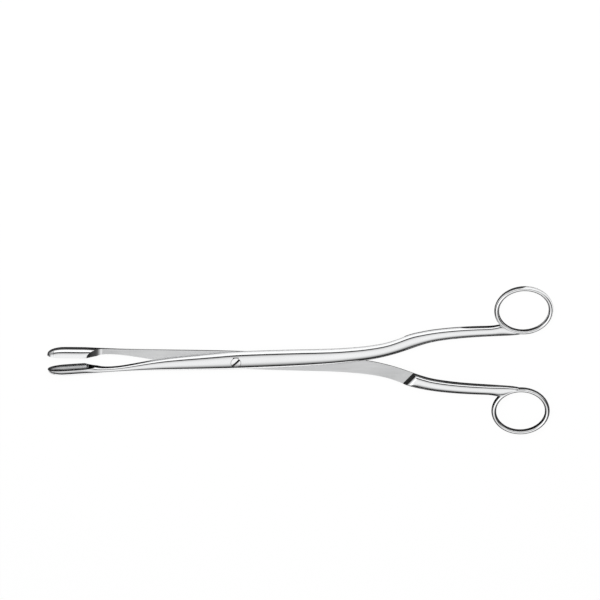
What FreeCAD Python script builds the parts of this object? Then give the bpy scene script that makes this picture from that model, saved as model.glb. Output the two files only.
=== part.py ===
import FreeCAD, Part
import math
import os

# Ovum forceps: two forged halves crossing at a screwed lap joint, with a cup
# jaw at one end and a finger ring at the other. Millimetres.
#
# A half is drawn with the jaws shut: X runs along the instrument from the
# screw towards the rings, Y is across it, and the halves lap at z = 0, the
# front one above. Both jaws curve up. Afterwards each half is opened about
# the screw and the whole is lifted, so that its back face lies on z = 0.

Vec = FreeCAD.Vector

# Joint, where the two halves cross
jointWidth = 11.2
jointThickness = 8.0          # both halves together, over the ground pads
padCrown = 0.12               # forged above each pad and ground away
lapClearance = 0.02           # between the two milled flats
jointCorner = 2.1             # rounding along the arms at the joint
openAngle = 4.8               # between the halves as the instrument lies

# Handle, from the screw to the middle of the finger ring
handleLength = 159.9
shankOffset = 12.1            # straight shank's middle from the closing plane
shankWidth = 6.2
shankThickness = 4.6
shoulderReach = 95.6          # screw to the end of the milled flat
shoulderSlant = 32.0          # degrees from square to the instrument
shoulderRadius = 4.0          # hollow left by the cutter

# Finger ring
ringInnerLength = 27.5
ringInnerWidth = 23.5
ringWire = 2.5                # in the ring's plane
ringThickness = 4.0
ringOffset = 24.5             # ring's middle from the closing plane

# Jaw arm and neck, from the screw to the heel of the cup
neckOffset = 2.35             # neck's middle from the closing plane
neckWidth = 3.3
neckThickness = 2.6
lapEnd = 47.8                 # screw to where the neck leaves the lap plane
neckCorner = 0.95
edgeBreak = 0.12              # on the edges of the milled flats

# Cup, a tapered capsule split lengthwise by the closing plane
heelReach = 85.3              # screw to the middle of the heel end
cupSpan = 14.17               # between the middles of the two ends
cupRise = 5.8                 # degrees, tip up
heelLift = 2.75               # heel's middle above the lap plane
heelRadius = 4.4
tipRadius = 4.75
heelHollow = 3.5
tipHollow = 4.0
cornerSetback = 0.7           # heel's middle to the cup's corner
cupSeam = 2.0                 # heel's middle to where the neck's flow begins
scoopLength = 11.6            # hollow flank from the cup's corner to the neck

# Joint screw
headDiameter = 5.7
headDepth = 1.7
headRecess = 0.05             # flush head, set just under the pad
headClearance = 0.05          # radial, in its counterbore
headEdge = 0.15
journalDiameter = 3.8         # turns in the front half
journalClearance = 0.03       # radial
threadDiameter = 3.5          # holds in the rear half
slotWidth = 0.9
slotDepth = 0.9
slotAngle = 46.0              # degrees from the instrument's length

padHeight = jointThickness / 2
overshoot = 20.0              # how far cutting bodies run past the work


def mix(start, end, share):
    return start + (end - start) * share


def corner(centreY, centreZ, radiusY, radiusZ, quarter):
    # One quarter of an ellipse in a cross-section, from quarter * 90 degrees.
    def at(turn):
        angle = math.radians(90 * (quarter + turn))
        return Vec(0, centreY + radiusY * math.cos(angle), centreZ + radiusZ * math.sin(angle))
    if abs(radiusY - radiusZ) < 1e-6:
        return Part.Arc(at(0), at(0.5), at(1)).toShape()
    wide = radiusY > radiusZ
    axis = Vec(0, 1, 0) if wide else Vec(0, 0, 1)
    centre = Vec(0, centreY, centreZ)
    long, short = max(radiusY, radiusZ), min(radiusY, radiusZ)
    side = Vec(0, 0, 1) if wide else Vec(0, -1, 0)
    ellipse = Part.Ellipse(centre + axis * long, centre + side * short, centre)
    first = math.radians(90 * quarter) - (0 if wide else math.pi / 2)
    return ellipse.toShape(first, first + math.pi / 2)


def section(x, y0, y1, z0, z1, corners):
    # Rectangle with four rounded corners, each (radius in y, radius in z), in
    # the order high y high z, low y high z, low y low z, high y low z.
    centres = []
    for index, (ry, rz) in enumerate(corners):
        cy = y1 - ry if index in (0, 3) else y0 + ry
        cz = z1 - rz if index in (0, 1) else z0 + rz
        centres.append((cy, cz))
    edges = []
    for index, (ry, rz) in enumerate(corners):
        cy, cz = centres[index]
        edges.append(corner(cy, cz, ry, rz, index))
        after = (index + 1) % 4
        ny, nz = centres[after]
        nry, nrz = corners[after]
        sine = math.sin(math.radians(90 * (index + 1)))
        cosine = math.cos(math.radians(90 * (index + 1)))
        start = Vec(0, cy + ry * cosine, cz + rz * sine)
        end = Vec(0, ny + nry * cosine, nz + nrz * sine)
        edges.append(Part.LineSegment(start, end).toShape())
    wire = Part.Wire(edges)
    wire.translate(Vec(x, 0, 0))
    return wire


def barRows():
    # Front half from the lap's jaw end to the ring. Each row: place along X,
    # middle in Y, half width, half thickness, and how far the section has
    # turned from a flat bar (0) to an oval (1).
    jointHalf = jointWidth / 2
    shankHalf = shankWidth / 2
    crown = padHeight + padCrown
    thin = shankThickness / 2
    rows = [
        (-lapEnd * 0.77, neckOffset * -0.49, mix(jointHalf, neckWidth / 2, 0.40), neckThickness * 1.19, 0.0),
        (-lapEnd * 0.42, neckOffset * -0.21, mix(jointHalf, neckWidth / 2, 0.18), neckThickness * 1.38, 0.0),
        (0, 0, jointHalf, crown, 0.0),
    ]
    shares = [
        # along, offset, width, thickness, roundness
        (0.125, 0.000, 0.05, 0.08, 0.05),
        (0.250, 0.010, 0.25, 0.22, 0.15),
        (0.361, 0.062, 0.50, 0.35, 0.30),
        (0.486, 0.174, 0.58, 0.59, 0.70),
        (0.569, 0.467, 0.70, 0.76, 1.00),
        (0.652, 0.785, 0.68, 0.85, 1.00),
        (0.736, 0.955, 0.82, 0.91, 1.00),
        (0.819, 0.990, 0.94, 0.97, 1.00),
        (0.881, 1.000, 1.00, 1.00, 1.00),
    ]
    for along, offset, width, thickness, roundness in shares:
        rows.append((
            handleLength * along,
            shankOffset * offset,
            mix(jointHalf, shankHalf, width),
            mix(crown, thin, thickness),
            roundness,
        ))
    # The shank's outer flank runs out into the ring, and its inner flank is
    # tangent to the ring's outside.
    ringFlank = ringOffset - ringInnerWidth / 2
    ringHalf = ringThickness / 2
    inner = shankOffset - shankHalf
    rows.append((handleLength * 0.938, inner + 2.9, 2.6, mix(thin, ringHalf, 0.4), 1.0))
    rows.append((handleLength * 0.969, ringFlank - 1.15, 1.30, ringHalf, 1.0))
    rows.append((handleLength, ringFlank - ringWire / 2, ringWire * 0.32, ringHalf * 0.75, 1.0))
    return rows


def barSections():
    wires = []
    for x, middle, half, thick, roundness in barRows():
        ry = mix(jointCorner, half * 0.86, roundness)
        rz = mix(jointCorner, thick * 0.93, roundness)
        wires.append(section(x, middle - half, middle + half, -thick, thick, [(ry, rz)] * 4))
    return wires


def cupCentre(share):
    # Point on the cup's own axis, from the heel's middle (0) to the tip's (1).
    rise = math.radians(cupRise)
    run = cupSpan * share
    return Vec(-heelReach - run * math.cos(rise), 0, heelLift + run * math.sin(rise))


def cupRadius(along):
    # Radius of the cup's cone at a distance along its axis from the heel.
    slope = math.asin((tipRadius - heelRadius) / cupSpan)
    return heelRadius / math.cos(slope) + along * math.tan(slope)


def cupSlice(reach):
    # Middle height and radius of the cup where a plane square to X cuts it.
    rise = math.radians(cupRise)
    along = (reach - heelReach) / math.cos(rise)
    return heelLift + along * math.sin(rise), cupRadius(along)


def cupSection(along):
    # Full round section of the cup, split into eight arcs to match the
    # rounded rectangles of the neck.
    radius = cupRadius(along)
    turns = [4, 86, 94, 176, 184, 266, 274, 356]

    def at(angle):
        turn = math.radians(angle)
        return Vec(0, radius * math.cos(turn), radius * math.sin(turn))
    edges = []
    for index, start in enumerate(turns):
        end = turns[(index + 1) % 8] + (360 if index == 7 else 0)
        edges.append(Part.Arc(at(start), at((start + end) / 2), at(end)).toShape())
    wire = Part.Wire(edges)
    wire.rotate(Vec(0, 0, 0), Vec(0, 1, 0), cupRise)
    wire.translate(cupCentre(along / cupSpan))
    return wire


def lapProfile(lapSide):
    # Heights of the neck's lap face: the lap plane, the rise of the neck and
    # the scoop that ends at the cup's corner, as (reach, height).
    cornerLift, cornerRadius = cupSlice(heelReach - cornerSetback)
    edge = cornerLift - lapSide * (cornerRadius + 0.06)
    plane = lapSide * lapClearance / 2
    reach = heelReach - cornerSetback
    span = reach - scoopLength - lapEnd
    if lapSide > 0:
        return [(lapEnd, plane), (lapEnd + span * 0.25, 0.12), (lapEnd + span * 0.5, 0.50),
                (lapEnd + span * 0.75, 0.90), (reach - scoopLength, 1.15), (reach - scoopLength * 0.66, 1.00),
                (reach - scoopLength * 0.33, -0.05), (reach, edge)]
    return [(lapEnd, plane), (lapEnd + span * 0.25, -0.01), (lapEnd + span * 0.5, 0.25),
            (lapEnd + span * 0.75, 1.20), (reach - scoopLength, 2.40), (reach - scoopLength * 0.66, 3.35),
            (reach - scoopLength * 0.33, 4.80), (reach, edge)]


def neckSections(lapSide):
    # Jaw end of the forging before its faces are cut, as wires from the cup
    # to the lap. The lap side and the closing side are left heavy, past what
    # the cutters leave.
    cornerX = heelReach - cornerSetback
    neckEnd = cornerX - scoopLength
    span = neckEnd - lapEnd
    neckHalf = neckWidth / 2
    inner = -neckOffset + neckHalf
    outer = -neckOffset - neckHalf
    flare = mix(jointWidth / 2, neckHalf, 0.69)
    middle = neckOffset * -0.83
    start = neckThickness * 1.01
    farRise = [6.15, 5.10, 4.15, 3.30, 2.75, 2.58] if lapSide > 0 else [-1.30, -0.80, -0.50, -1.05, -1.85, -2.35]
    wires = [cupSection(cupSeam), cupSection(0)]
    # Each row: place, inner flank, outer flank, far face, share of the way
    # from the cup's round section to the neck's square one.
    rows = [
        (mix(cornerX, neckEnd, 0.25), 2.2, outer - 0.42, farRise[0], 0.25),
        (mix(cornerX, neckEnd, 0.55), 0.0, outer - 0.42, farRise[1], 0.60),
        (neckEnd, inner, outer - 0.20, farRise[2], 1.0),
        (mix(neckEnd, lapEnd, 0.25), inner + 0.03, outer, farRise[3], 1.0),
        (mix(neckEnd, lapEnd, 0.50), -0.15, outer - 0.05, farRise[4], 1.0),
        (mix(neckEnd, lapEnd, 0.75), 0.40, outer - 0.42, farRise[5], 1.0),
    ]
    lap = lapProfile(lapSide)
    lapHeights = [lap[6][1], lap[5][1], lap[4][1], lap[3][1], lap[2][1], lap[1][1]]
    for (reach, y1, y0, far, toNeck), height in zip(rows, lapHeights):
        lift, radius = cupSlice(reach)
        bar = mix(jointCorner, neckCorner, min(1, (reach - lapEnd) / span / 0.6))
        heavy = height - lapSide * (bar + 0.3)
        heavy = mix(lift - lapSide * radius, heavy, toNeck)
        z0, z1 = min(far, heavy), max(far, heavy)
        round4 = (mix((y1 - y0) * 0.47, bar, toNeck), mix((z1 - z0) * 0.47, bar, toNeck))
        wires.append(section(-reach, y0, y1, z0, z1, [round4] * 4))
    corners = [(jointCorner, jointCorner)] * 4
    wires.append(section(-lapEnd, middle - flare, middle + flare, -start, start, corners))
    return wires


def capsule(heelR, tipR):
    # Tapered capsule about the cup's axis.
    slope = math.asin((tipR - heelR) / cupSpan)
    heelTangent = Vec(-heelR * math.sin(slope), 0, heelR * math.cos(slope))
    tipTangent = Vec(cupSpan - tipR * math.sin(slope), 0, tipR * math.cos(slope))
    heelPole = Vec(-heelR, 0, 0)
    tipPole = Vec(cupSpan + tipR, 0, 0)
    half = math.sqrt(0.5)
    profile = Part.Wire([
        Part.Arc(heelPole, Vec(-heelR * half, 0, heelR * half), heelTangent).toShape(),
        Part.LineSegment(heelTangent, tipTangent).toShape(),
        Part.Arc(tipTangent, Vec(cupSpan + tipR * half, 0, tipR * half), tipPole).toShape(),
        Part.LineSegment(tipPole, heelPole).toShape(),
    ])
    solid = Part.Face(profile).revolve(Vec(0, 0, 0), Vec(1, 0, 0), 360)
    solid.rotate(Vec(0, 0, 0), Vec(0, 0, 1), 180)
    solid.rotate(Vec(0, 0, 0), Vec(0, 1, 0), cupRise)
    solid.translate(cupCentre(0))
    return solid


def cup():
    # Outside of the cup, up to where the neck's own sections take over.
    length = cupSpan + tipRadius + overshoot
    keep = Part.makeBox(length, 2 * overshoot, 2 * overshoot, Vec(-length, -overshoot, -overshoot))
    keep.rotate(Vec(0, 0, 0), Vec(0, 1, 0), cupRise)
    keep.translate(cupCentre(cupSeam / cupSpan))
    return capsule(heelRadius, tipRadius).common(keep)


def neckCutter(lapSide):
    # Takes the neck's lap face and the scoop out of the heavy forging.
    points = [Vec(-reach, 0, height) for reach, height in lapProfile(lapSide)]
    flank = Part.BSplineCurve()
    flank.interpolate(points)
    first, last = points[0], points[-1]
    depth = lapSide * -overshoot
    profile = Part.Wire([
        flank.toShape(),
        Part.LineSegment(last, Vec(last.x, 0, depth)).toShape(),
        Part.LineSegment(Vec(last.x, 0, depth), Vec(first.x, 0, depth)).toShape(),
        Part.LineSegment(Vec(first.x, 0, depth), first).toShape(),
    ])
    face = Part.Face(profile)
    face.translate(Vec(0, -overshoot, 0))
    return face.extrude(Vec(0, 2 * overshoot, 0))


def ring():
    # Oval finger ring: oval wire led round a four-centred oval, as four
    # tangent arcs that meet where the oval's quadrants do.
    longHalf = (ringInnerLength + ringWire) / 2
    shortHalf = (ringInnerWidth + ringWire) / 2
    endRadius = shortHalf - (longHalf - shortHalf) * 0.62
    endCentre = longHalf - endRadius
    # The side arcs are tangent to the end arcs, which sets their centre.
    sideCentre = (endCentre ** 2 - (shortHalf - endRadius) ** 2) / (2 * (shortHalf - endRadius))
    sideRadius = shortHalf + sideCentre
    turn = math.degrees(math.atan2(sideCentre, endCentre))
    wire = Part.Ellipse(Vec(0, 0, ringThickness / 2), Vec(ringWire / 2, 0, 0), Vec(0, 0, 0)).toShape()
    disc = Part.Face(Part.Wire(wire))
    parts = []
    for side in (1, -1):
        end = disc.copy()
        end.translate(Vec(endRadius, 0, 0))
        end.rotate(Vec(0, 0, 0), Vec(0, 0, 1), -turn)
        piece = end.revolve(Vec(0, 0, 0), Vec(0, 0, 1), 2 * turn)
        piece.translate(Vec(endCentre, 0, 0))
        if side < 0:
            piece.rotate(Vec(0, 0, 0), Vec(0, 0, 1), 180)
        parts.append(piece)
        flank = disc.copy()
        flank.translate(Vec(sideRadius, 0, 0))
        flank.rotate(Vec(0, 0, 0), Vec(0, 0, 1), turn)
        piece = flank.revolve(Vec(0, 0, 0), Vec(0, 0, 1), 180 - 2 * turn)
        piece.translate(Vec(0, -sideCentre, 0))
        if side < 0:
            piece.rotate(Vec(0, 0, 0), Vec(0, 0, 1), 180)
        parts.append(piece)
    solid = parts[0].fuse(parts[1:])
    solid.translate(Vec(handleLength, ringOffset, 0))
    return solid


def lapCutter():
    # Milled away below the front half's lap face: a block that ends in the
    # slanted hollow shoulder. Drawn for the front half.
    reach = lapEnd + shoulderReach + overshoot
    depth = padHeight * 3
    radius = shoulderRadius
    top = lapClearance / 2
    hollow = Part.Wire([
        Part.LineSegment(Vec(-reach, 0, top), Vec(0, 0, top)).toShape(),
        Part.Arc(
            Vec(0, 0, top),
            Vec(radius * math.sin(math.pi / 4), 0, top - radius * (1 - math.cos(math.pi / 4))),
            Vec(radius, 0, top - radius),
        ).toShape(),
        Part.LineSegment(Vec(radius, 0, top - radius), Vec(radius, 0, top - depth)).toShape(),
        Part.LineSegment(Vec(radius, 0, top - depth), Vec(-reach, 0, top - depth)).toShape(),
        Part.LineSegment(Vec(-reach, 0, top - depth), Vec(-reach, 0, top)).toShape(),
    ])
    face = Part.Face(hollow)
    length = 2 * reach
    face.translate(Vec(0, -length / 2, 0))
    block = face.extrude(Vec(0, length, 0))
    block.rotate(Vec(0, 0, 0), Vec(0, 0, 1), shoulderSlant)
    block.translate(Vec(shoulderReach, shankOffset * 0.56, 0))
    span = Part.makeBox(2 * reach, 4 * reach, 4 * depth, Vec(-lapEnd, -2 * reach, -2 * depth))
    return block.common(span)


def forging(lapSide):
    # One half with its jaw at negative Y and its handle at positive Y, before
    # the screw holes.
    bar = Part.makeLoft(neckSections(lapSide) + barSections(), True, False)
    cutter = lapCutter()
    if lapSide < 0:
        cutter = cutter.mirror(Vec(0, 0, 0), Vec(0, 0, 1))
    face = padHeight if lapSide > 0 else -padHeight - overshoot
    ground = Part.makeBox(handleLength, 2 * overshoot, overshoot, Vec(-lapEnd, -overshoot, face))
    end = heelReach + cupSpan + overshoot
    shut = Part.makeBox(
        end - heelReach + cornerSetback + scoopLength, overshoot, 2 * overshoot, Vec(-end, 0, -overshoot)
    )
    half = bar.fuse(cup()).cut([cutter, neckCutter(lapSide), ground, shut, capsule(heelHollow, tipHollow)])
    return half.fuse(ring())


def frontHalf():
    half = forging(1)
    bore = Part.makeCylinder(journalDiameter / 2 + journalClearance, jointThickness, Vec(0, 0, -padHeight))
    seatZ = padHeight - headRecess - headDepth
    counterbore = Part.makeCylinder(headDiameter / 2 + headClearance, overshoot, Vec(0, 0, seatZ))
    return half.cut(bore).cut(counterbore)


def rearHalf():
    half = forging(-1).mirror(Vec(0, 0, 0), Vec(0, 1, 0))
    hole = Part.makeCylinder(threadDiameter / 2, jointThickness, Vec(0, 0, -jointThickness))
    return half.cut(hole)


def jointScrew():
    headTop = padHeight - headRecess
    seatZ = headTop - headDepth + lapClearance
    head = Part.makeCylinder(headDiameter / 2, headTop - seatZ, Vec(0, 0, seatZ))
    head = head.makeChamfer(headEdge, [edge for edge in head.Edges if edge.BoundBox.ZMin > headTop - 0.01])
    journal = Part.makeCylinder(journalDiameter / 2, seatZ + lapClearance / 2, Vec(0, 0, -lapClearance / 2))
    thread = Part.makeCylinder(threadDiameter / 2, padHeight, Vec(0, 0, -padHeight))
    screw = head.fuse([journal, thread])
    slot = Part.makeBox(headDiameter * 2, slotWidth, overshoot, Vec(-headDiameter, -slotWidth / 2, headTop - slotDepth))
    slot.rotate(Vec(0, 0, 0), Vec(0, 0, 1), slotAngle)
    return screw.cut(slot)


def write(name, shape, turn):
    placed = shape.copy()
    placed.rotate(Vec(0, 0, 0), Vec(0, 0, 1), turn)
    placed.translate(Vec(0, 0, padHeight))
    box = placed.BoundBox
    print(name, "solids", len(placed.Solids), "valid", placed.isValid(), "volume", round(placed.Volume, 2))
    print("  x", round(box.XMin, 2), round(box.XMax, 2), "y", round(box.YMin, 2), round(box.YMax, 2),
          "z", round(box.ZMin, 2), round(box.ZMax, 2))
    placed.exportStep("parts/" + name + ".step")


os.makedirs("parts", exist_ok=True)
write("front_half", frontHalf(), openAngle / 2)
write("rear_half", rearHalf(), -openAngle / 2)
write("joint_screw", jointScrew(), -openAngle / 2)
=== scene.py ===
import math
import bpy
from mathutils import Euler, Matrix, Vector


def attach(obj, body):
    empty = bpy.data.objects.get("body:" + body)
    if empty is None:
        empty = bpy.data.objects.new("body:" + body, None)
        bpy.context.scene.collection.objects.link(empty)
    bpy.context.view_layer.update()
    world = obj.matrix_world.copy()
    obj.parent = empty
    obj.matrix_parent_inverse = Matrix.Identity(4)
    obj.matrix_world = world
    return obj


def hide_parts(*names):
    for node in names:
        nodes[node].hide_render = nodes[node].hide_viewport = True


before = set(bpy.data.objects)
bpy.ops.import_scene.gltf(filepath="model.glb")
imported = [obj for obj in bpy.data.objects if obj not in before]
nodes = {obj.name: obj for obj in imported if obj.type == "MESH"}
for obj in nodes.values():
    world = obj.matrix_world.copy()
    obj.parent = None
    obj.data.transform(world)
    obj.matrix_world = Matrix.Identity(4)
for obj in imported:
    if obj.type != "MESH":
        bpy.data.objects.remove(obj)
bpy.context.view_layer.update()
print("frame loaded:", ", ".join(sorted(nodes)))

# the forgings are shaped in millimetres with the jaws shut: the screw at the middle, the rings
# towards +X, the halves lapping at z = 0; afterwards each is opened and set down at the CAD's place
joint = {
    "lapHeight": 0.004,           # metres, the plane on which the two halves lap
    "open": 2.4,                  # degrees that each half is turned
    "clearance": 0.01,            # each milled flat from the lap plane
    "crown": 4.3,                 # lap plane to the rounded back
    "pad": 4.0,                   # lap plane to the rear half's ground back
}


def deselectAll():
    bpy.ops.object.select_all(action="DESELECT")


def pick(piece):
    deselectAll()
    piece.select_set(True)
    bpy.context.view_layer.objects.active = piece


def newMaterial(name):
    material = bpy.data.materials.new(name)
    material.use_nodes = True
    tree = material.node_tree
    tree.nodes.clear()
    out = tree.nodes.new("ShaderNodeOutputMaterial")
    return material, tree, out


def addNode(tree, kind, **values):
    node = tree.nodes.new(kind)
    for key, value in values.items():
        setattr(node, key, value)
    return node


def stretchedNoise(tree, scale, stretch, detail, rough):
    place = addNode(tree, "ShaderNodeTexCoord")
    mapping = addNode(tree, "ShaderNodeMapping")
    mapping.inputs["Scale"].default_value = stretch
    noise = addNode(tree, "ShaderNodeTexNoise")
    noise.inputs["Scale"].default_value = scale
    noise.inputs["Detail"].default_value = detail
    noise.inputs["Roughness"].default_value = rough
    tree.links.new(place.outputs["Object"], mapping.inputs["Vector"])
    tree.links.new(mapping.outputs["Vector"], noise.inputs["Vector"])
    return noise.outputs["Fac"]


def ramp(tree, source, stops):
    node = addNode(tree, "ShaderNodeValToRGB")
    for index, (place, value) in enumerate(stops):
        element = node.color_ramp.elements[index] if index < 2 else node.color_ramp.elements.new(place)
        element.position = place
        element.color = (value, value, value, 1) if isinstance(value, float) else (*value, 1)
    tree.links.new(source, node.inputs["Fac"])
    return node.outputs["Color"]


def steel(name, look):
    material, tree, out = newMaterial(name)
    metal = addNode(tree, "ShaderNodeBsdfPrincipled")
    metal.inputs["Metallic"].default_value = 1.0
    tree.links.new(metal.outputs["BSDF"], out.inputs["Surface"])
    cloud = stretchedNoise(tree, look["cloudScale"], (0.5, 1, 1), 4.0, 0.55)
    tone = ramp(tree, cloud, [(0.30, look["dark"]), (0.70, look["light"])])
    tree.links.new(tone, metal.inputs["Base Color"])
    grain = stretchedNoise(tree, look["grainScale"], look["grainStretch"], 2.0, 0.5)
    gloss = ramp(tree, grain, [(0.25, look["smooth"]), (0.75, look["rough"])])
    tree.links.new(gloss, metal.inputs["Roughness"])
    bump = addNode(tree, "ShaderNodeBump")
    bump.inputs["Strength"].default_value = look["bump"]
    bump.inputs["Distance"].default_value = look["bumpDepth"]
    tree.links.new(grain, bump.inputs["Height"])
    tree.links.new(bump.outputs["Normal"], metal.inputs["Normal"])
    return material


polishedLook = {
    "dark": (0.86, 0.865, 0.87),
    "light": (0.90, 0.905, 0.91),
    "cloudScale": 60.0,
    "grainScale": 900.0,
    "grainStretch": (0.06, 1, 1),
    "smooth": 0.07,
    "rough": 0.13,
    "bump": 0.10,
    "bumpDepth": 0.00002,
}

milledLook = {
    "dark": (0.66, 0.665, 0.67),
    "light": (0.76, 0.765, 0.77),
    "cloudScale": 90.0,
    "grainScale": 1400.0,
    "grainStretch": (0.05, 1, 1),
    "smooth": 0.36,
    "rough": 0.52,
    "bump": 0.35,
    "bumpDepth": 0.00003,
}

screwLook = {
    "dark": (0.95, 0.95, 0.955),
    "light": (0.98, 0.98, 0.985),
    "cloudScale": 300.0,
    "grainScale": 1600.0,
    "grainStretch": (1, 1, 1),
    "smooth": 0.22,
    "rough": 0.34,
    "bump": 0.10,
    "bumpDepth": 0.00001,
}

# satin finish of the cup hollow; its darker colour is painted shade inside the cup
satinAndPaintedShadeLook = {
    "dark": (0.52, 0.525, 0.53),
    "light": (0.62, 0.625, 0.63),
    "cloudScale": 120.0,
    "grainScale": 1200.0,
    "grainStretch": (1, 1, 1),
    "smooth": 0.20,
    "rough": 0.30,
    "bump": 0.10,
    "bumpDepth": 0.00001,
}

# painted shade: a near-black colour for the shoulder's root, the gap inside the screw's seat and the
# screw's slot
paintedShadeLook = {
    "dark": (0.03, 0.03, 0.03),
    "light": (0.06, 0.06, 0.06),
    "cloudScale": 300.0,
    "grainScale": 1600.0,
    "grainStretch": (1, 1, 1),
    "smooth": 0.50,
    "rough": 0.70,
    "bump": 0.10,
    "bumpDepth": 0.00001,
}

polished = steel("polishedForging", polishedLook)
milled = steel("milledLap", milledLook)
turned = steel("turnedScrew", screwLook)
paintedShade = steel("paintedShadeRecess", paintedShadeLook)
satinAndPaintedShade = steel("satinHollowPaintedShade", satinAndPaintedShadeLook)
print("materials made")


def apply(piece, kind, **values):
    # adds a modifier and applies it at once
    pick(piece)
    modifier = piece.modifiers.new(kind.lower(), kind)
    for key, value in values.items():
        setattr(modifier, key, value)
    bpy.ops.object.modifier_apply(modifier=modifier.name)


def place(piece, move=(0, 0, 0), turn=(0, 0, 0), scale=(1, 1, 1)):
    pick(piece)
    piece.location = move
    piece.rotation_euler = turn
    piece.scale = scale
    bpy.ops.object.transform_apply(location=True, rotation=True, scale=True)


def turnFacesOut(piece):
    pick(piece)
    bpy.ops.object.mode_set(mode="EDIT")
    bpy.ops.mesh.select_all(action="SELECT")
    bpy.ops.mesh.normals_make_consistent(inside=False)
    bpy.ops.object.mode_set(mode="OBJECT")


def combine(piece, tool, operation):
    apply(piece, "BOOLEAN", operation=operation, object=tool, solver="MANIFOLD")
    bpy.data.objects.remove(tool)


def addBox(low, high):
    deselectAll()
    bpy.ops.mesh.primitive_cube_add(size=1)
    box = bpy.context.object
    middle = [(a + b) / 2 for a, b in zip(low, high)]
    place(box, middle, (0, 0, 0), [b - a for a, b in zip(low, high)])
    return box


def addRod(radius, low, high, vertices=96):
    deselectAll()
    bpy.ops.mesh.primitive_cylinder_add(vertices=vertices, radius=radius, depth=high - low)
    rod = bpy.context.object
    place(rod, (0, 0, (low + high) / 2))
    return rod


skinning = {
    "around": 32,
    "levels": 2,
    "far": 30.0,                  # how far cutting bodies run past the work
}


def skin(name, rows):
    # a round disc led from row to row, smoothed along its length
    x, y, z, halfWidth, halfThickness = rows[0]
    deselectAll()
    bpy.ops.mesh.primitive_circle_add(
        vertices=skinning["around"], radius=1, fill_type="NGON", rotation=(0, math.pi / 2, 0)
    )
    piece = bpy.context.object
    piece.name = name
    bpy.ops.object.transform_apply(location=True, rotation=True, scale=True)
    bpy.ops.object.mode_set(mode="EDIT")
    bpy.ops.mesh.select_all(action="SELECT")
    halfStep = math.pi / skinning["around"]
    bpy.ops.transform.rotate(value=halfStep, orient_axis="X", center_override=(0, 0, 0))
    bpy.ops.transform.resize(value=(1, halfWidth, halfThickness), center_override=(0, 0, 0))
    bpy.ops.transform.translate(value=(x, y, z))
    for last, row in zip(rows, rows[1:]):
        step = [b - a for a, b in zip(last[:3], row[:3])]
        bpy.ops.mesh.extrude_region_move(TRANSFORM_OT_translate={"value": step})
        bpy.ops.transform.resize(value=(1, row[3] / last[3], row[4] / last[4]), center_override=row[:3])
    bpy.ops.object.mode_set(mode="OBJECT")
    turnFacesOut(piece)
    levels = skinning["levels"]
    apply(piece, "SUBSURF", levels=levels, render_levels=levels)
    return piece


cup = {
    "heel": 84.6,                 # screw to the cup's corner
    "straight": 10.2,
    "tip": 9.7,                   # length of the oval tip
    "fullness": 0.8,              # 1 is an ellipse, less is blunter
    "radius": 4.43,
    "wall": 0.8,
    "lift": 1.4,                  # middle above the lap plane, at the corner
    "rise": 4.0,                  # degrees, tip up
    "hollowHeel": 3.0,
    "gap": 0.02,                  # rim from the closing plane
}


def cupMiddle(reach):
    return cup["lift"] + (reach - cup["heel"]) * math.tan(math.radians(cup["rise"]))


def roundEnd(start, length, radius, steps):
    # rows of an oval end, from its point back to where it starts
    rows = []
    for step in range(steps):
        turn = math.radians(88 - 88 * step / steps)
        reach = start + length * math.sin(turn)
        size = max(radius * math.cos(turn) ** cup["fullness"], 0.15)
        rows.append((-reach, 0, cupMiddle(reach), size, size))
    return rows


handle = {
    # along X, middle in Y, middle in Z, half width, half thickness
    "rows": [
        (0, 0, 0, 5.35, 4.3), (19, 0, 0, 5.3, 4.25), (36, 0, 0, 5.1, 4.1), (54, 0.1, 0, 4.57, 3.9),
        (66.5, 0.94, 0, 4.22, 3.7), (72.5, 1.38, 0, 4.2, 3.6), (80.3, 2.5, 0, 4.0, 3.5),
        (86, 3.85, 0, 3.96, 3.45), (91.5, 5.57, 0, 4.2, 3.4), (97, 7.6, 0, 4.28, 3.4),
        (102.6, 9.1, 0, 3.86, 3.35), (108, 10.32, 0, 3.55, 3.3), (114, 11.15, 0, 3.4, 3.25),
        (124.8, 11.97, 0, 3.2, 3.1), (136, 12.2, 0, 3.05, 3.0), (143.5, 12.15, 0.1, 2.9, 2.85),
        (147, 12.75, 0.2, 3.5, 2.7), (150.5, 12.3, 0.3, 3.0, 2.5), (155, 11.15, 0.4, 1.7, 2.1),
        (160, 11.1, 0.5, 0.8, 1.5),
    ],
    "shoulderReach": 95.9,        # screw to the end of the milled flat
    "shoulderMiddle": 7.2,
    "shoulderSlant": 39.0,        # degrees from square to the instrument
    # the shoulder's line: past the end of the flat, and up from the lap plane
    "shoulder": [
        (0, 0), (0.15, 0.15), (1.0, 1.0), (1.9, 1.9), (2.7, 2.55), (3.7, 3.05), (5.2, 3.35),
        (7.0, 3.6), (9.0, 3.9),
    ],
}

jaw = {
    "rows": [
        (-73, -2.48, 0.65, 1.55, 2.6), (-66, -2.4, 0.5, 1.56, 2.5), (-59, -2.03, 0.3, 1.95, 2.6),
        (-48, -1.29, 0.05, 2.9, 2.85), (-36.5, -0.6, 0, 3.84, 3.6), (-19.7, -0.37, 0, 4.58, 4.1),
        (-9, -0.17, 0, 5.0, 4.25),
    ],
    "neckRows": [(-81.4, -0.95, 1.2, 3.4, 3.95), (-78.2, -2.0, 1.0, 2.1, 3.4)],
    "lapEnd": 47.8,               # screw to where the neck leaves the lap plane
    "grainEnd": 74.0,             # screw to where the milled grain stops
    "neckEnd": 73.0,              # screw to where the scoop begins
    # reach and height of the neck's lap face, for the front half and the rear half
    "frontScoop": [
        (54.1, 0.1), (60.4, 0.35), (66.7, 0.6), (73, 0.7), (77, 0.45), (80.8, -0.95), (84.7, -3.2),
    ],
    "rearScoop": [
        (54.1, 0.1), (60.4, 0.35), (66.7, 0.6), (73, 0.9), (76, 1.55), (79, 3.1), (82, 5.0),
        (84.7, 7.0),
    ],
}


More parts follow.
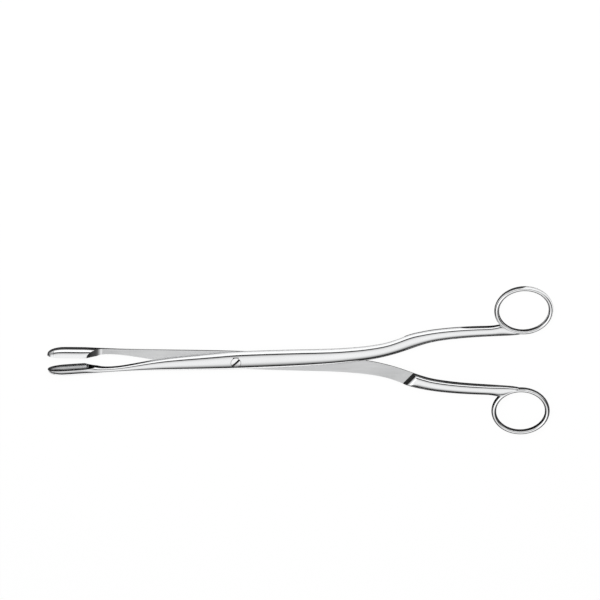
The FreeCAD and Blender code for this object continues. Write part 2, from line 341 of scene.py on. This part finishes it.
def forgingRows():
    tipStart = cup["heel"] + cup["straight"]
    rows = roundEnd(tipStart, cup["tip"], cup["radius"], 9)
    for reach in (tipStart, tipStart - cup["straight"] / 2, cup["heel"]):
        rows.append((-reach, 0, cupMiddle(reach), cup["radius"], cup["radius"]))
    return rows + jaw["neckRows"] + jaw["rows"] + handle["rows"]


def addHollow():
    # rounded heel, straight barrel and oval tip
    radius = cup["radius"] - cup["wall"]
    tipStart = cup["heel"] + cup["straight"]
    rows = roundEnd(tipStart, cup["tip"] - cup["wall"], radius, 9)
    for share in (0, 0.5, 1):
        reach = tipStart - cup["straight"] * share
        rows.append((-reach, 0, cupMiddle(reach), radius, radius))
    for degrees in (20, 40, 60, 75, 86):
        turn = math.radians(degrees)
        reach = cup["heel"] - cup["hollowHeel"] * math.sin(turn)
        size = radius * math.cos(turn)
        rows.append((-reach, 0, cupMiddle(reach), size, size))
    return skin("hollow", rows)


def smoothLine(points, steps):
    # evenly eased points between those given
    line = []
    for index in range(len(points) - 1):
        a = points[max(index - 1, 0)]
        b, c = points[index], points[index + 1]
        d = points[min(index + 2, len(points) - 1)]
        for step in range(steps):
            t = step / steps
            point = []
            for p, q, r, s in zip(a, b, c, d):
                bend = (2 * p - 5 * q + 4 * r - s) * t * t + (3 * q - p - 3 * r + s) * t ** 3
                point.append(0.5 * (2 * q + (r - p) * t + bend))
            line.append(tuple(point))
    return line + [points[-1]]


def addProfileCutter(points, side):
    # a wide prism below (side 1) or above (side -1) a line of points in X and Z
    far = skinning["far"]
    reach = 4 * far
    toward = 1 if points[-1][0] > points[0][0] else -1
    deselectAll()
    bpy.ops.mesh.primitive_plane_add(size=1)
    cutter = bpy.context.object
    place(cutter, (points[0][0] - toward * 0.5, 0, points[0][1]), (0, 0, 0), (1, 2 * reach, 1))
    limit = points[0][0] * toward - 0.01
    pickEdges(cutter, lambda a, b: min(a.x * toward, b.x * toward) > limit)
    bpy.ops.object.mode_set(mode="EDIT")
    for last, point in zip(points, points[1:]):
        step = (point[0] - last[0], 0, point[1] - last[1])
        bpy.ops.mesh.extrude_region_move(TRANSFORM_OT_translate={"value": step})
    bpy.ops.mesh.select_all(action="SELECT")
    bpy.ops.mesh.extrude_region_move(TRANSFORM_OT_translate={"value": (0, 0, -side * far)})
    bpy.ops.object.mode_set(mode="OBJECT")
    turnFacesOut(cutter)
    return cutter


def addNeckCutter(side):
    # everything on the other half's side of the neck's lap face
    scoop = jaw["frontScoop"] if side > 0 else jaw["rearScoop"]
    flat = side * joint["clearance"]
    points = smoothLine([(jaw["lapEnd"] - 1, 0), (jaw["lapEnd"], 0)] + scoop, 6)
    return addProfileCutter([(-reach, height + flat) for reach, height in points], side)


def pickEdges(piece, test):
    points = piece.data.vertices
    for vertex in points:
        vertex.select = False
    for face in piece.data.polygons:
        face.select = False
    for edge in piece.data.edges:
        edge.select = test(points[edge.vertices[0]].co, points[edge.vertices[1]].co)
    bpy.ops.object.mode_set(mode="EDIT")
    bpy.ops.mesh.select_mode(type="EDGE")
    bpy.ops.object.mode_set(mode="OBJECT")
    for edge in piece.data.edges:
        edge.select = test(points[edge.vertices[0]].co, points[edge.vertices[1]].co)


def addLapCutter(side):
    # everything on the other half's side of the lap face, up to the slanted round shoulder
    flat = side * joint["clearance"]
    start = -jaw["lapEnd"] - handle["shoulderReach"]
    points = smoothLine(handle["shoulder"], 4)
    profile = [(start, flat), (-1, flat)] + [(x, flat - side * height) for x, height in points]
    cutter = addProfileCutter(profile, side)
    turn = (0, 0, math.radians(handle["shoulderSlant"]))
    place(cutter, (handle["shoulderReach"], handle["shoulderMiddle"], 0), turn)
    far = skinning["far"]
    span = addBox((-jaw["lapEnd"], -9 * far, -2 * far), (9 * far, 9 * far, 2 * far))
    combine(cutter, span, "INTERSECT")
    return cutter


ring = {
    "middle": (159.9, 24.35, 0.6),
    "innerLength": 27.4,
    "innerWidth": 23.8,
    "wire": 2.5,
    "thickness": 4.0,
}


def addRing():
    middleLength = (ring["innerLength"] + ring["wire"]) / 2
    middleWidth = (ring["innerWidth"] + ring["wire"]) / 2
    mean = (middleLength + middleWidth) / 2
    deselectAll()
    bpy.ops.mesh.primitive_torus_add(
        major_radius=mean, minor_radius=ring["wire"] / 2, major_segments=160, minor_segments=32
    )
    hoop = bpy.context.object
    tall = ring["thickness"] / ring["wire"]
    place(hoop, ring["middle"], (0, 0, 0), (middleLength / mean, middleWidth / mean, tall))
    return hoop


def forge(name, side):
    # one half with its jaw at negative Y and its handle at positive Y
    far = skinning["far"]
    half = skin(name, forgingRows())
    combine(half, addLapCutter(side), "DIFFERENCE")
    combine(half, addNeckCutter(side), "DIFFERENCE")
    shut = addBox((-cup["heel"] - 2 * far, -cup["gap"], -far), (-jaw["neckEnd"], far, far))
    combine(half, shut, "DIFFERENCE")
    combine(half, addHollow(), "DIFFERENCE")
    combine(half, addRing(), "UNION")
    return half


def settle(piece, side, body, node):
    turn = (0, 0, math.radians(joint["open"] * side))
    place(piece, turn=turn)
    place(piece, (0, 0, joint["lapHeight"]), scale=(0.001, 0.001, 0.001))
    pick(piece)
    bpy.ops.object.shade_smooth_by_angle(angle=math.radians(32))
    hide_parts(node)
    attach(piece, body)


screw = {
    "headRadius": 2.68,
    "seatRadius": 2.90,
    "journalRadius": 1.9,
    "threadRadius": 1.75,
    "headDepth": 1.7,
    "recess": 0.05,
    "slotWidth": 1.1,
    "slotDepth": 1.1,
    "slotAngle": 46.0,
    "headPlay": 0.02,             # under the head
    "journalPlay": 0.03,          # around the journal
    "overlap": 0.2,               # how far the head, journal and thread run into each other
}


def makeFrontHalf():
    half = forge("forgedFrontHalf", 1)
    far = skinning["far"]
    seat = joint["crown"] - screw["recess"] - screw["headDepth"]
    combine(half, addRod(screw["journalRadius"] + screw["journalPlay"], -far, far), "DIFFERENCE")
    combine(half, addRod(screw["seatRadius"], seat, far), "DIFFERENCE")
    settle(half, 1, "front", "front_half")
    dress(half, 1)


def makeRearHalf():
    half = forge("forgedRearHalf", -1)
    place(half, scale=(1, -1, 1))
    turnFacesOut(half)
    far = skinning["far"]
    combine(half, addRod(screw["threadRadius"], -far, far), "DIFFERENCE")
    pad = addBox((-3 * far, -far, -joint["pad"] - far), (3 * far, far, -joint["pad"]))
    combine(half, pad, "DIFFERENCE")
    settle(half, -1, "rear", "rear_half")
    dress(half, -1)


def makeScrew():
    # the head is filed flush, so its top follows the front half's back
    far = skinning["far"]
    seat = joint["crown"] - screw["recess"] - screw["headDepth"] + screw["headPlay"]
    head = addRod(screw["headRadius"], seat, far)
    head.name = "filedScrew"
    back = skin("back", forgingRows())
    place(back, (0, 0, -screw["recess"]), (0, 0, math.radians(2 * joint["open"])))
    combine(head, back, "INTERSECT")
    combine(head, addRod(screw["journalRadius"], 0, seat + screw["overlap"]), "UNION")
    combine(head, addRod(screw["threadRadius"], -joint["pad"], screw["overlap"]), "UNION")
    floor = joint["crown"] - screw["recess"] - screw["slotDepth"]
    slot = addBox((-far, -screw["slotWidth"] / 2, floor), (far, screw["slotWidth"] / 2, far))
    place(slot, turn=(0, 0, math.radians(screw["slotAngle"])))
    combine(head, slot, "DIFFERENCE")
    settle(head, -1, "rear", "joint_screw")
    head.data.materials.clear()
    for material in (turned, paintedShade):
        head.data.materials.append(material)
    # painted shade: the sides and the floor of the slot are coloured dark
    low = joint["lapHeight"]
    high = low + (floor + facing["slotFloor"]) / 1000
    for face in head.data.polygons:
        side = abs(face.normal.z) < facing["slotLevel"]
        face.material_index = 1 if side or low < face.center.z < high else 0


# which faces are milled, satin or painted dark as shade, by their place in millimetres and how level they
# lie
facing = {
    "near": 0.03,                 # how near a milled plane or a hollow its faces are
    "lapLevel": 0.999,
    "neckLow": -0.1,
    "neckHigh": 1.2,
    "neckLevel": 0.9,
    "rootFrom": 85.0,             # the shoulder's root, painted dark as shade, is looked for beyond here
    "rootLow": 0.02,
    "rootHigh": 1.9,
    "rootLevel": 0.85,
    "rootFront": -0.3,
    "slotLevel": 0.35,
    "slotFloor": 0.05,            # how far above its floor the slot's faces painted dark as shade reach
    "neckRun": 2.0,               # how far the neck's milled face runs on into the lap
    "seatReach": 0.05,
    "seatFrom": 1.0,              # above the lap plane
}


def dress(half, side):
    half.data.materials.clear()
    for material in (polished, milled, paintedShade, satinAndPaintedShade):
        half.data.materials.append(material)
    # milled lap face and ground pad; painted shade inside the screw's seat and on the shoulder's root; the
    # satin cup hollow, its darker colour painted shade
    turn = math.radians(joint["open"] * side)
    for face in half.data.polygons:
        x, y, z = face.center * 1000
        z -= joint["lapHeight"] * 1000
        level = abs(face.normal.z)
        lap = abs(z) < facing["near"] or z < -joint["pad"] + facing["near"]
        neck = -jaw["grainEnd"] < x < -jaw["lapEnd"] + facing["neckRun"]
        neck = neck and facing["neckLow"] < z < facing["neckHigh"]
        seat = math.hypot(x, y) < screw["seatRadius"] + facing["seatReach"] and z > facing["seatFrom"]
        along = x * math.cos(turn) + y * math.sin(turn)
        across = y * math.cos(turn) - x * math.sin(turn)
        fromMiddle = math.hypot(across, z - cupMiddle(-along))
        inside = fromMiddle < cup["radius"] - cup["wall"] + facing["near"]
        hollow = inside and along < cup["hollowHeel"] - cup["heel"]
        # faces of the shoulder's root get painted shade
        step = x > facing["rootFrom"] and facing["rootLow"] < -side * z < facing["rootHigh"]
        paintedRootShade = step and level < facing["rootLevel"] and face.normal.x < facing["rootFront"]
        flat = (neck and level > facing["neckLevel"]) or (lap and level > facing["lapLevel"])
        face.material_index = 2 if seat or paintedRootShade else 3 if hollow else 1 if flat else 0


makeFrontHalf()
makeRearHalf()
makeScrew()
print("halves and screw shaped")


studio = {
    "floorColour": (0.88, 0.88, 0.88, 1),
    "cameraLift": 0.96,           # share of plain white in what the camera sees of the floor
    "shadeReach": 0.02,           # how far from the instrument the floor darkens, in metres
    "shade": [(0.0, 0.0), (1.0, 1.10), (0.64, 0.0), (0.82, 0.45), (0.93, 1.08)],
    "stripEdge": 0.003,           # where the painted dark strip across the floor ends, towards +Y
    "stripSlant": 0.28,           # how fast its edge moves out towards the jaws
    "stripSoft": 0.004,
    "ringMiddle": 0.144,          # it widens past the upper ring, as far as this from here
    "ringReach": 0.023,
    "ringSlope": 6.0,
    "stripTone": 0.07,
    "nearEdge": 0.004,            # where the strip ends towards -Y at the jaws and the joint
    "nearFrom": 0.070,            # beyond here, towards the rings, it runs on towards -Y
    "nearSlope": 25.0,
    "endTones": [
        (0.0, 0.0), (1.0, 0.3), (0.05, 0.2), (0.09, 3.0), (0.22, 2.4), (0.30, 1.0), (0.72, 1.0),
        (0.83, 0.25),
    ],
    "litSide": [
        (0.0, 1.20), (1.0, 0.98), (0.28, 1.25), (0.34, 1.10), (0.37, 0.15), (0.40, 0.0),
        (0.575, 0.0), (0.62, 0.22), (0.67, 0.55), (0.80, 0.82), (0.92, 0.95),
    ],
    "darkSide": [
        (0.0, 0.0), (1.0, 0.98), (0.10, 0.0), (0.30, 0.0), (0.42, 0.12), (0.55, 0.34),
        (0.70, 0.62), (0.84, 0.84), (0.92, 0.95),
    ],
    "endSide": [(0.0, 0.50), (1.0, 0.98), (0.25, 0.62), (0.55, 0.82), (0.80, 0.93)],
    "sideFrom": 0.05,             # how far towards +Y the dark side turns into the lit side
    "sideTo": 0.60,
    "endFrom": 0.50,              # how far towards either end the lit side turns into a plain wall
    "endTo": 0.68,
    "boxPower": 3.2,
    "boxPlace": (0.04, 0.38, 0.50),
    "boxAim": (0.04, 0, 0),
    "boxSize": (0.30, 0.20),
}


def calculate(tree, operation, first, second=0.0, third=0.0):
    node = addNode(tree, "ShaderNodeMath", operation=operation)
    for socket, value in zip(node.inputs, (first, second, third)):
        if isinstance(value, float):
            socket.default_value = value
        else:
            tree.links.new(value, socket)
    return node.outputs[0]


def paintedShadeStrip(tree):
    # painted shade: a dark strip under the instrument, seen only in the steel's reflections, with its edge
    # slanting out towards the jaws
    place = addNode(tree, "ShaderNodeTexCoord")
    split = addNode(tree, "ShaderNodeSeparateXYZ")
    tree.links.new(place.outputs["Object"], split.inputs["Vector"])
    slant = calculate(tree, "MULTIPLY", split.outputs["X"], -studio["stripSlant"])
    off = calculate(tree, "SUBTRACT", split.outputs["X"], studio["ringMiddle"])
    off = calculate(tree, "MULTIPLY", calculate(tree, "ABSOLUTE", off), -1.0)
    wide = calculate(tree, "ADD", off, studio["ringReach"])
    wide = calculate(tree, "MULTIPLY", wide, studio["ringSlope"])
    slant = calculate(tree, "MAXIMUM", slant, wide)
    edge = calculate(tree, "ADD", calculate(tree, "MAXIMUM", slant, 0.0), studio["stripEdge"])
    beyond = calculate(tree, "SUBTRACT", split.outputs["Y"], edge)
    run = calculate(tree, "SUBTRACT", split.outputs["X"], studio["nearFrom"])
    run = calculate(tree, "MULTIPLY", calculate(tree, "MAXIMUM", run, 0.0), studio["nearSlope"])
    near = calculate(tree, "ADD", run, studio["nearEdge"])
    before = calculate(tree, "MULTIPLY", split.outputs["Y"], -1.0)
    before = calculate(tree, "SUBTRACT", before, near)
    beyond = calculate(tree, "MAXIMUM", beyond, before)
    fade = addNode(tree, "ShaderNodeMapRange", interpolation_type="SMOOTHSTEP")
    fade.inputs["From Min"].default_value = 0.0
    fade.inputs["From Max"].default_value = studio["stripSoft"]
    fade.inputs["To Min"].default_value = studio["stripTone"]
    fade.inputs["To Max"].default_value = 1.0
    tree.links.new(beyond, fade.inputs["Value"])
    return fade.outputs["Result"]


def makeFloor():
    deselectAll()
    bpy.ops.mesh.primitive_plane_add(size=3.0, location=(0, 0, 0))
    floor = bpy.context.object
    floor.name = "floor"
    material, tree, out = newMaterial("paleFloor")
    path = addNode(tree, "ShaderNodeLightPath")
    diffuse = addNode(tree, "ShaderNodeBsdfDiffuse")
    diffuse.inputs["Color"].default_value = studio["floorColour"]
    white = addNode(tree, "ShaderNodeEmission")
    white.inputs["Color"].default_value = (1, 1, 1, 1)
    seen = addNode(tree, "ShaderNodeMixShader")
    lift = calculate(tree, "MULTIPLY", path.outputs["Is Camera Ray"], studio["cameraLift"])
    tree.links.new(lift, seen.inputs["Fac"])
    tree.links.new(diffuse.outputs["BSDF"], seen.inputs[1])
    tree.links.new(white.outputs["Emission"], seen.inputs[2])
    # in the steel the floor is white too, but for painted shade close to the instrument, from occlusion,
    # and the painted dark strip
    near = addNode(tree, "ShaderNodeAmbientOcclusion", samples=8)
    near.inputs["Distance"].default_value = studio["shadeReach"]
    shade = ramp(tree, near.outputs["AO"], studio["shade"])
    mirrored = addNode(tree, "ShaderNodeEmission")
    tree.links.new(shade, mirrored.inputs["Color"])
    tree.links.new(paintedShadeStrip(tree), mirrored.inputs["Strength"])
    mixer = addNode(tree, "ShaderNodeMixShader")
    glossy = calculate(tree, "MAXIMUM", path.outputs["Is Glossy Ray"], path.outputs["Is Transmission Ray"])
    tree.links.new(glossy, mixer.inputs["Fac"])
    tree.links.new(seen.outputs["Shader"], mixer.inputs[1])
    tree.links.new(mirrored.outputs["Emission"], mixer.inputs[2])
    tree.links.new(mixer.outputs["Shader"], out.inputs["Surface"])
    floor.data.materials.append(material)


def blend(tree, factor, first, second, kind="MIX"):
    node = addNode(tree, "ShaderNodeMix", data_type="RGBA", blend_type=kind)
    if factor is None:
        node.inputs["Factor"].default_value = 1.0
    else:
        tree.links.new(factor, node.inputs["Factor"])
    tree.links.new(first, node.inputs["A"])
    tree.links.new(second, node.inputs["B"])
    return node.outputs["Result"]


def makeWorld():
    # what the steel mirrors, from the horizon up: a low side box beyond the front half, a dark
    # gap, the pale ceiling, and the darker end of the room on the rear half's side
    world = bpy.data.worlds.new("studioRoom")
    bpy.context.scene.world = world
    world.use_nodes = True
    tree = world.node_tree
    tree.nodes.clear()
    out = tree.nodes.new("ShaderNodeOutputWorld")
    place = addNode(tree, "ShaderNodeTexCoord")
    split = addNode(tree, "ShaderNodeSeparateXYZ")
    tree.links.new(place.outputs["Generated"], split.inputs["Vector"])
    litSide = ramp(tree, split.outputs["Z"], studio["litSide"])
    darkSide = ramp(tree, split.outputs["Z"], studio["darkSide"])
    side = addNode(tree, "ShaderNodeMapRange", interpolation_type="SMOOTHSTEP")
    side.inputs["From Min"].default_value = studio["sideFrom"]
    side.inputs["From Max"].default_value = studio["sideTo"]
    tree.links.new(split.outputs["Y"], side.inputs["Value"])
    # the side box and the gap stay beyond the instrument, and its ends see a plain pale wall
    away = addNode(tree, "ShaderNodeMapRange", interpolation_type="SMOOTHSTEP")
    away.inputs["From Min"].default_value = studio["endFrom"]
    away.inputs["From Max"].default_value = studio["endTo"]
    tree.links.new(calculate(tree, "ABSOLUTE", split.outputs["X"]), away.inputs["Value"])
    endSide = ramp(tree, split.outputs["Z"], studio["endSide"])
    litSide = blend(tree, away.outputs["Result"], litSide, endSide)
    ends = calculate(tree, "MULTIPLY_ADD", split.outputs["X"], 0.5, 0.5)
    ends = ramp(tree, ends, studio["endTones"])
    darkSide = blend(tree, None, darkSide, ends, "MULTIPLY")
    room = blend(tree, side.outputs["Result"], darkSide, litSide)
    dim = addNode(tree, "ShaderNodeBackground")
    tree.links.new(room, dim.inputs["Color"])
    white = addNode(tree, "ShaderNodeBackground")
    white.inputs["Color"].default_value = (1, 1, 1, 1)
    path = addNode(tree, "ShaderNodeLightPath")
    mixer = addNode(tree, "ShaderNodeMixShader")
    tree.links.new(path.outputs["Is Camera Ray"], mixer.inputs["Fac"])
    tree.links.new(dim.outputs["Background"], mixer.inputs[1])
    tree.links.new(white.outputs["Background"], mixer.inputs[2])
    tree.links.new(mixer.outputs["Shader"], out.inputs["Surface"])


def makeLamp(name, place, aim, size, power):
    deselectAll()
    bpy.ops.object.light_add(type="AREA", location=place)
    lamp = bpy.context.object
    lamp.name = name
    lamp.data.shape = "RECTANGLE"
    lamp.data.size, lamp.data.size_y = size
    lamp.data.energy = power
    lamp.visible_glossy = False   # the steel mirrors the room instead
    lamp.rotation_euler = (Vector(aim) - Vector(place)).to_track_quat("-Z", "Y").to_euler()


photo = {
    "tilt": -25.0,                # degrees from straight down, leaning over the front half's side
    "roll": 0.1,
    "width": 0.3329,              # what the frame spans at the object
    "lens": 200.0,
    "sensor": 36.0,
    "right": 0.0355,              # frame's middle from the screw
    "up": 0.03326,
}


def makeCamera():
    tilt = Euler((math.radians(photo["tilt"]), 0, 0)).to_matrix()
    roll = Euler((0, 0, math.radians(photo["roll"]))).to_matrix()
    turn = tilt @ roll
    right, up, back = turn.col
    distance = photo["width"] * photo["lens"] / photo["sensor"]
    middle = Vector((0, 0, joint["lapHeight"]))
    place = middle + right * photo["right"] + up * photo["up"] + back * distance
    deselectAll()
    bpy.ops.object.camera_add(location=place, rotation=turn.to_euler())
    camera = bpy.context.object
    camera.data.lens = photo["lens"]
    camera.data.sensor_width = photo["sensor"]
    camera.data.clip_end = 20.0
    bpy.context.scene.camera = camera


makeFloor()
makeWorld()
makeLamp("overheadBox", studio["boxPlace"], studio["boxAim"], studio["boxSize"], studio["boxPower"])
makeCamera()
bpy.context.scene.view_settings.view_transform = "Standard"
print("studio ready")
